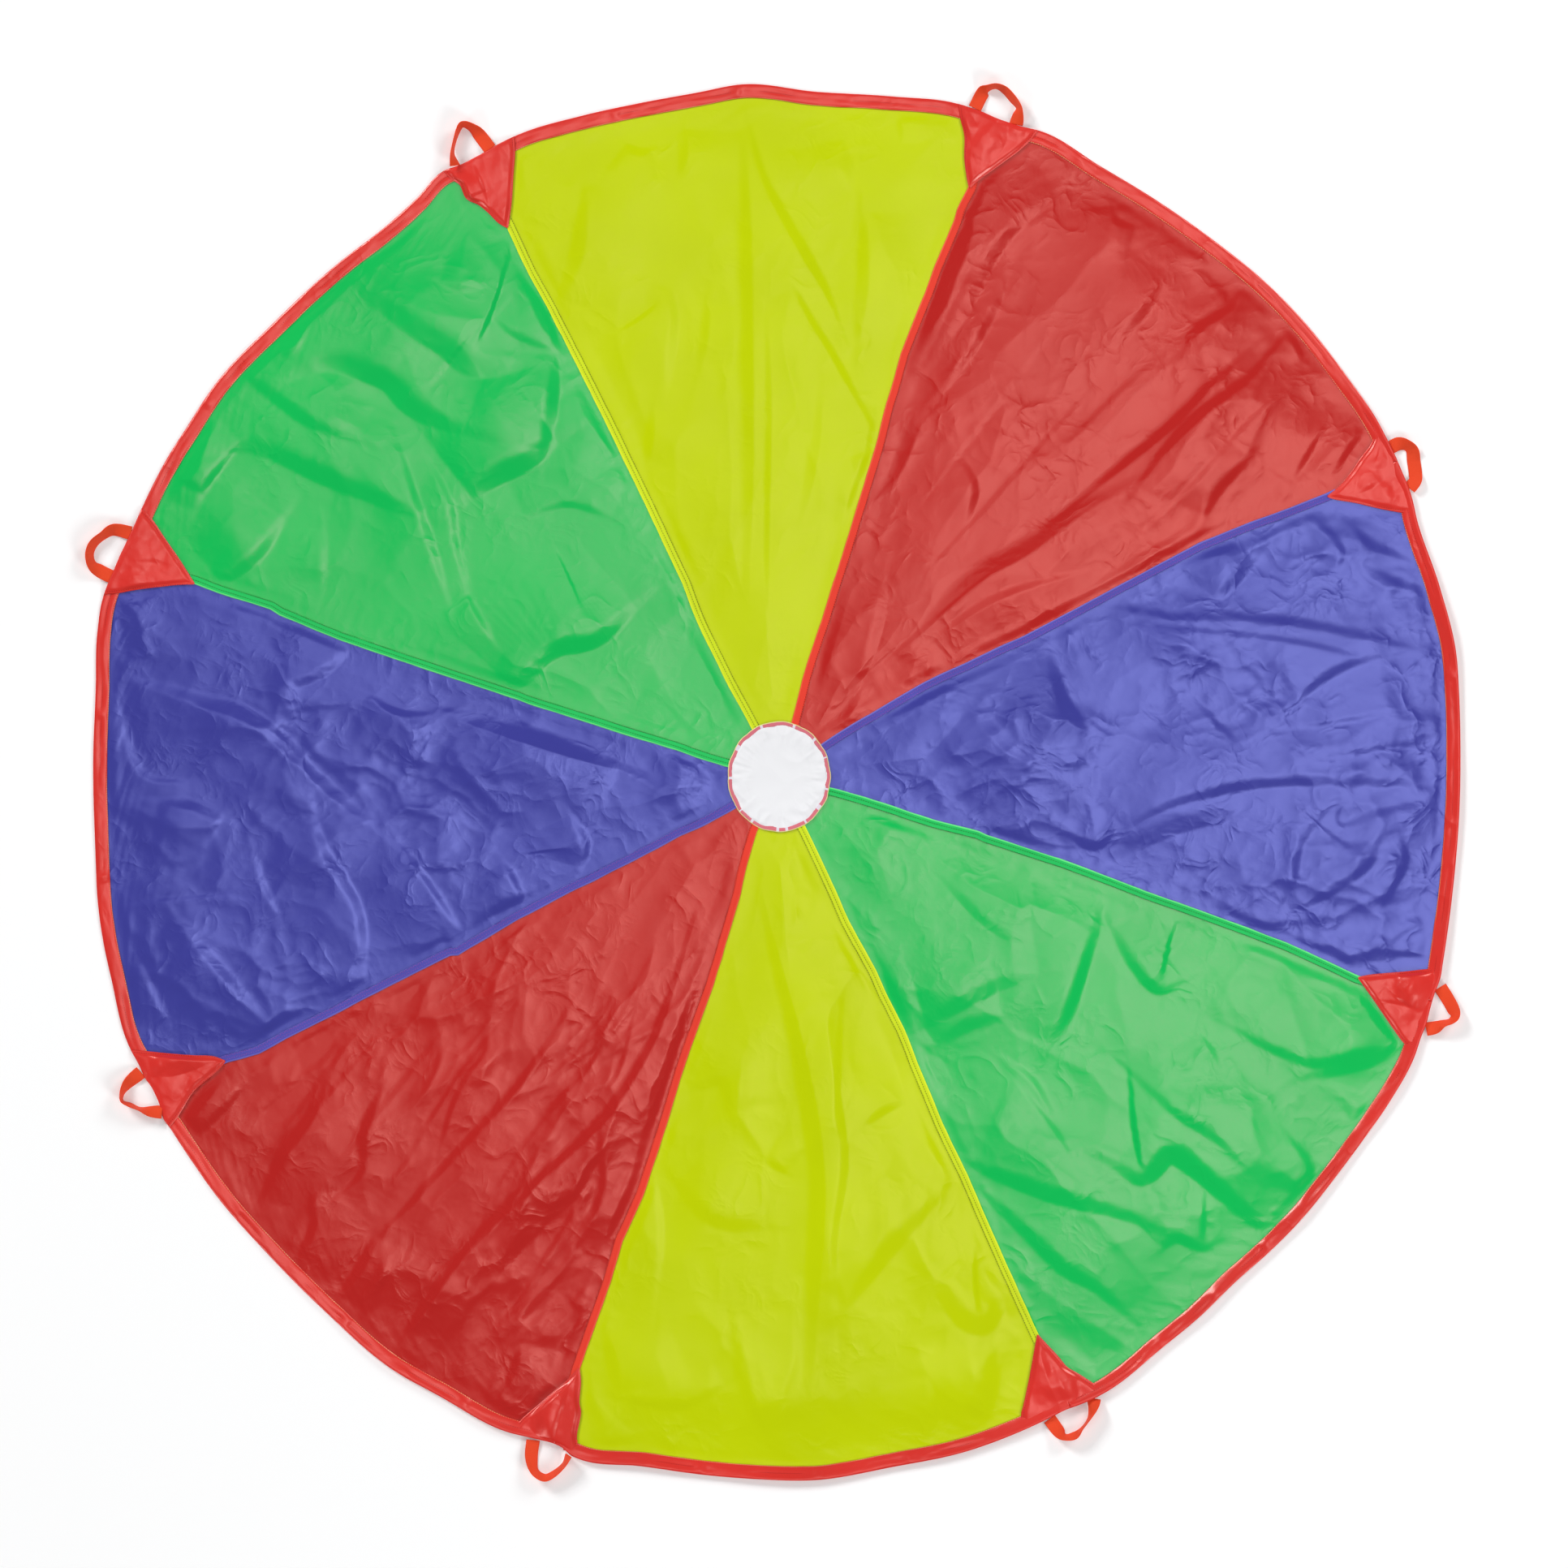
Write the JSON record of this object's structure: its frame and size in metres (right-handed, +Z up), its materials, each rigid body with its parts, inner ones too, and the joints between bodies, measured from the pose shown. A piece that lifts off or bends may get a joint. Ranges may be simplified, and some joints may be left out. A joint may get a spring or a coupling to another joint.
{
  "type": "play parachute",
  "caption": "Round play parachute laid flat, with coloured fabric gores round a covered vent, a bound rim, corner patches and folding webbing handle loops.",
  "frame": {"origin": "middle of the vent cover's underside, on the surface that the canopy lies on", "axes": "+Z up from the floor; +Y from the vent towards the middle of the yellow north gore's rim, the top of the picture; +X towards the blue east gore"},
  "size_m": [1.9858, 2.0184, 0.0224],
  "materials": {
    "yellow_cloth": "satin plain-woven polyester taffeta, softly creased",
    "yellow_seam": "two layers of the same taffeta, felled and stitched twice",
    "red_cloth": "satin plain-woven polyester taffeta, softly creased",
    "red_seam": "two layers of the same taffeta, felled and stitched twice",
    "blue_cloth": "satin plain-woven polyester taffeta, softly creased",
    "blue_seam": "two layers of the same taffeta, felled and stitched twice",
    "green_cloth": "satin plain-woven polyester taffeta, softly creased",
    "green_seam": "two layers of the same taffeta, felled and stitched twice",
    "hem": "folded taffeta binding with two stitch rows",
    "patch": "taffeta patch, satin",
    "webbing": "flat woven polypropylene webbing",
    "vent_binding": "red binding under sheer white mesh",
    "vent_cover": "crinkled sheer white cloth"
  },
  "bodies": {
    "canopy": {"panel_yellow_north": "yellow_cloth", "panel_red_northeast": "red_cloth", "panel_blue_east": "blue_cloth", "panel_green_southeast": "green_cloth", "panel_yellow_south": "yellow_cloth", "panel_red_southwest": "red_cloth", "panel_blue_west": "blue_cloth", "panel_green_northwest": "green_cloth", "seam_strip_1": "yellow_seam", "seam_strip_2": "red_seam", "seam_strip_3": "blue_seam", "seam_strip_4": "green_seam", "seam_strip_5": "yellow_seam", "seam_strip_6": "red_seam", "seam_strip_7": "blue_seam", "seam_strip_8": "green_seam", "hem_binding_1": "hem", "hem_binding_2": "hem", "hem_binding_3": "hem", "hem_binding_4": "hem", "hem_binding_5": "hem", "hem_binding_6": "hem", "hem_binding_7": "hem", "hem_binding_8": "hem", "corner_patch_1": "patch", "corner_patch_2": "patch", "corner_patch_3": "patch", "corner_patch_4": "patch", "corner_patch_5": "patch", "corner_patch_6": "patch", "corner_patch_7": "patch", "corner_patch_8": "patch", "handle_end_1_a": "webbing", "handle_end_1_b": "webbing", "handle_end_2_a": "webbing", "handle_end_2_b": "webbing", "handle_end_3_a": "webbing", "handle_end_3_b": "webbing", "handle_end_4_a": "webbing", "handle_end_4_b": "webbing", "handle_end_5_a": "webbing", "handle_end_5_b": "webbing", "handle_end_6_a": "webbing", "handle_end_6_b": "webbing", "handle_end_7_a": "webbing", "handle_end_7_b": "webbing", "handle_end_8_a": "webbing", "handle_end_8_b": "webbing"},
    "crown": {"vent_binding": "vent_binding", "vent_cover": "vent_cover"},
    "handle_1": {"handle_loop_1": "webbing"},
    "handle_2": {"handle_loop_2": "webbing"},
    "handle_3": {"handle_loop_3": "webbing"},
    "handle_4": {"handle_loop_4": "webbing"},
    "handle_5": {"handle_loop_5": "webbing"},
    "handle_6": {"handle_loop_6": "webbing"},
    "handle_7": {"handle_loop_7": "webbing"},
    "handle_8": {"handle_loop_8": "webbing"}
  },
  "joints": [
    {"name": "handle_1_fold", "type": "hinge", "parent": "canopy", "child": "handle_1", "pos_m": [-0.44255, 0.89509, 0.0045], "axis": [0.8903, 0.4553, 0], "range_deg": [0, 150]},
    {"name": "handle_2_fold", "type": "hinge", "parent": "canopy", "child": "handle_2", "pos_m": [0.31276, 0.9547, 0.0045], "axis": [0.9496, -0.3134, 0], "range_deg": [0, 150]},
    {"name": "handle_3_fold", "type": "hinge", "parent": "canopy", "child": "handle_3", "pos_m": [0.89422, 0.44463, 0.0045], "axis": [0.4018, -0.9157, 0], "range_deg": [0, 150]},
    {"name": "handle_4_fold", "type": "hinge", "parent": "canopy", "child": "handle_4", "pos_m": [0.94411, -0.33367, 0.0045], "axis": [-0.2935, -0.956, 0], "range_deg": [0, 150]},
    {"name": "handle_5_fold", "type": "hinge", "parent": "canopy", "child": "handle_5", "pos_m": [0.42235, -0.91333, 0.0045], "axis": [-0.9082, -0.4185, 0], "range_deg": [0, 150]},
    {"name": "handle_6_fold", "type": "hinge", "parent": "canopy", "child": "handle_6", "pos_m": [-0.32931, -0.97022, 0.0045], "axis": [-0.9316, 0.3635, 0], "range_deg": [0, 150]},
    {"name": "handle_7_fold", "type": "hinge", "parent": "canopy", "child": "handle_7", "pos_m": [-0.90652, -0.45678, 0.0045], "axis": [-0.451, 0.8925, 0], "range_deg": [0, 150]},
    {"name": "handle_8_fold", "type": "hinge", "parent": "canopy", "child": "handle_8", "pos_m": [-0.94985, 0.31951, 0.0045], "axis": [0.4296, 0.903, 0], "range_deg": [0, 150]},
    {"name": "crown_lift", "type": "slide", "parent": "canopy", "child": "crown", "axis": [0, 0, 1], "range_m": [0, 0.25], "deforming": ["panel_yellow_north", "panel_red_northeast", "panel_blue_east", "panel_green_southeast", "panel_yellow_south", "panel_red_southwest", "panel_blue_west", "panel_green_northwest", "seam_strip_1", "seam_strip_2", "seam_strip_3", "seam_strip_4", "seam_strip_5", "seam_strip_6", "seam_strip_7", "seam_strip_8"]}
  ]
}
